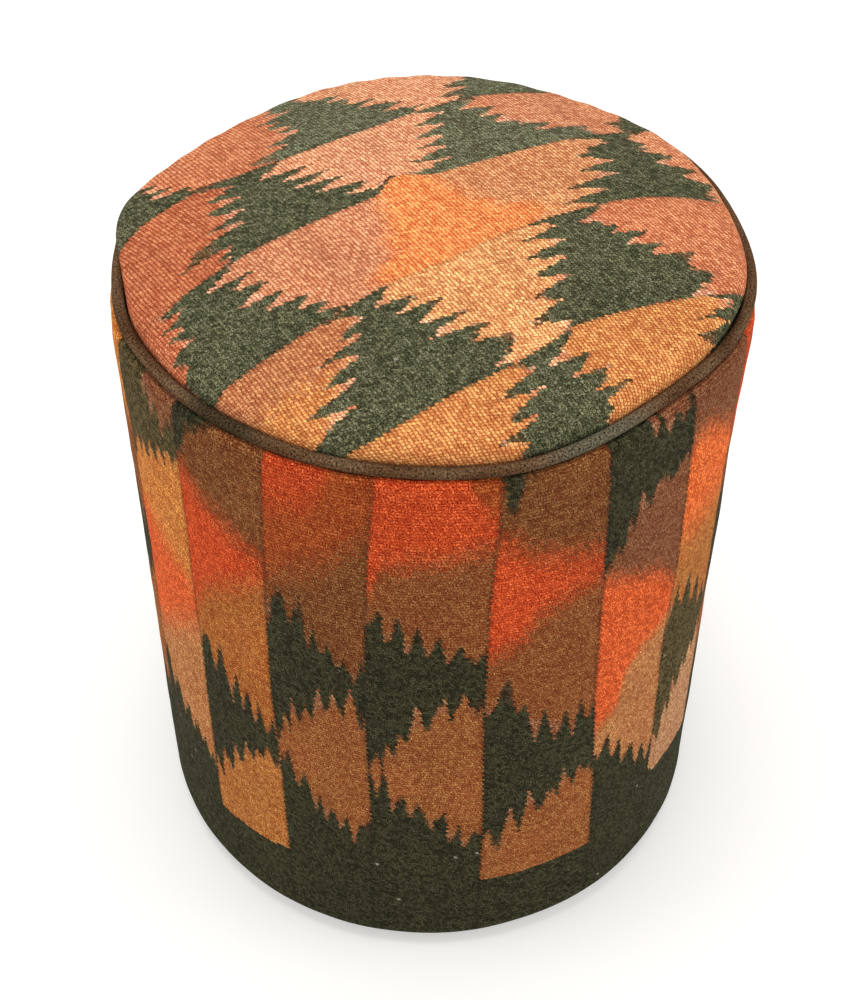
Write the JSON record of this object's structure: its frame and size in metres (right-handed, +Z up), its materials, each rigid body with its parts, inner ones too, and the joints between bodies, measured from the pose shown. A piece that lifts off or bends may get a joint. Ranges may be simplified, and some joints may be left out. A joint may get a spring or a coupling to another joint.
{
  "type": "moroccan kursi stool",
  "caption": "Round drum stool covered in flat-woven kilim wool, with a crowned padded seat and dark piping.",
  "frame": {"origin": "on the floor at the middle of the drum", "axes": "+Z up along the drum's axis; -Y is the side that faces the camera, and the joint of the drum's skin is at +Y"},
  "size_m": [0.38, 0.38, 0.485],
  "materials": {
    "kilim_top": "weft-faced flat weave in salmon, ochre and dark green wool",
    "kilim_side": "the same flat weave, turned so that its bands run up the drum",
    "piping_cloth": "dark brown woven strip round a cord",
    "cotton_cord": "twisted cotton cord inside the piping",
    "foam": "cut upholstery foam",
    "hardboard": "bent hardboard, smooth outside",
    "plywood": "sawn plywood",
    "pine": "planed softwood",
    "zinc_steel": "bright zinc",
    "black_cloth": "non-woven black lining",
    "nylon": "moulded nylon"
  },
  "bodies": {
    "root": {"top_cover": "kilim_top", "side_cover": "kilim_side", "piping_cover": "piping_cloth", "piping_cord": "cotton_cord", "seat_foam": "foam", "side_foam": "foam", "drum_skin": "hardboard", "seat_board": "plywood", "base_board": "plywood", "middle_hoop": "plywood", "dust_cover": "black_cloth", "upright_1": "pine", "upright_2": "pine", "upright_3": "pine", "upright_4": "pine", "upright_5": "pine", "upright_6": "pine", "seat_screw_1": "zinc_steel", "seat_screw_2": "zinc_steel", "seat_screw_3": "zinc_steel", "seat_screw_4": "zinc_steel", "seat_screw_5": "zinc_steel", "seat_screw_6": "zinc_steel", "base_screw_1": "zinc_steel", "base_screw_2": "zinc_steel", "base_screw_3": "zinc_steel", "base_screw_4": "zinc_steel", "base_screw_5": "zinc_steel", "base_screw_6": "zinc_steel", "hoop_screw_1": "zinc_steel", "hoop_screw_2": "zinc_steel", "hoop_screw_3": "zinc_steel", "hoop_screw_4": "zinc_steel", "hoop_screw_5": "zinc_steel", "hoop_screw_6": "zinc_steel", "hem_staple_1": "zinc_steel", "hem_staple_2": "zinc_steel", "hem_staple_3": "zinc_steel", "hem_staple_4": "zinc_steel", "hem_staple_5": "zinc_steel", "hem_staple_6": "zinc_steel", "hem_staple_7": "zinc_steel", "hem_staple_8": "zinc_steel", "hem_staple_9": "zinc_steel", "hem_staple_10": "zinc_steel", "hem_staple_11": "zinc_steel", "hem_staple_12": "zinc_steel", "glide_nail_1": "zinc_steel", "glide_nail_2": "zinc_steel", "glide_nail_3": "zinc_steel", "glide_nail_4": "zinc_steel", "glide_1": "nylon", "glide_2": "nylon", "glide_3": "nylon", "glide_4": "nylon"}
  },
  "joints": []
}
